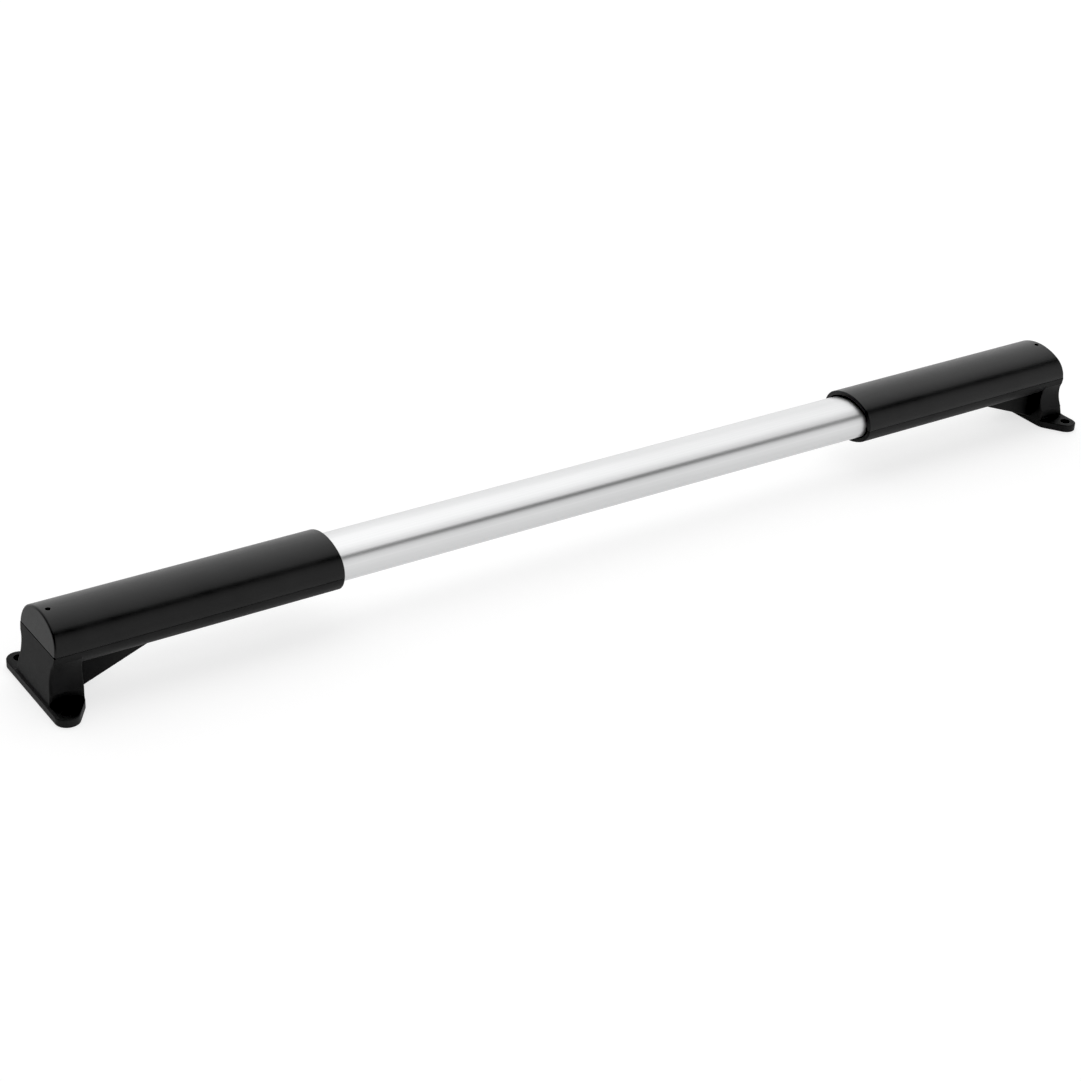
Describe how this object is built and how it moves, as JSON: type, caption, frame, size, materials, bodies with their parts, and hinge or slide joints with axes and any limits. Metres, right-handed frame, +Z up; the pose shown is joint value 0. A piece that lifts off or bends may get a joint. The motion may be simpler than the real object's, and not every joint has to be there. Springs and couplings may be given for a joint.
{
  "type": "bed cargo bar",
  "caption": "Telescoping cross bar with an oval metal tube sliding in screw-on plastic end brackets.",
  "frame": {"origin": "middle of the mounting plane, halfway along the bar, under the tube axis", "axes": "+X along the bar, +Y across it along each foot's line of screw holes, +Z up from the mounting plane"},
  "size_m": [0.64, 0.0664, 0.0434],
  "materials": {
    "tube_metal": "satin anodised",
    "bracket_plastic": "fine moulded texture, semi-matte",
    "cap_plastic": "natural nylon",
    "liner_plastic": "smooth low-friction plastic",
    "grip_rubber": "matte",
    "pin_steel": "dark oiled"
  },
  "bodies": {
    "bar": {"tube": "tube_metal", "tube_cap_left": "cap_plastic", "tube_cap_right": "cap_plastic", "grip_ring_left": "grip_rubber", "grip_ring_right": "grip_rubber"},
    "bracket_left": {"foot_left": "bracket_plastic", "shell_left": "bracket_plastic", "pin_left": "pin_steel", "liner_left": "liner_plastic"},
    "bracket_right": {"foot_right": "bracket_plastic", "shell_right": "bracket_plastic", "pin_right": "pin_steel", "liner_right": "liner_plastic"}
  },
  "joints": [
    {"name": "left_slide", "type": "slide", "parent": "bar", "child": "bracket_left", "axis": [-1, 0, 0], "range_m": [-0.037, 0.037]},
    {"name": "right_slide", "type": "slide", "parent": "bar", "child": "bracket_right", "axis": [1, 0, 0], "range_m": [-0.037, 0.037]}
  ]
}
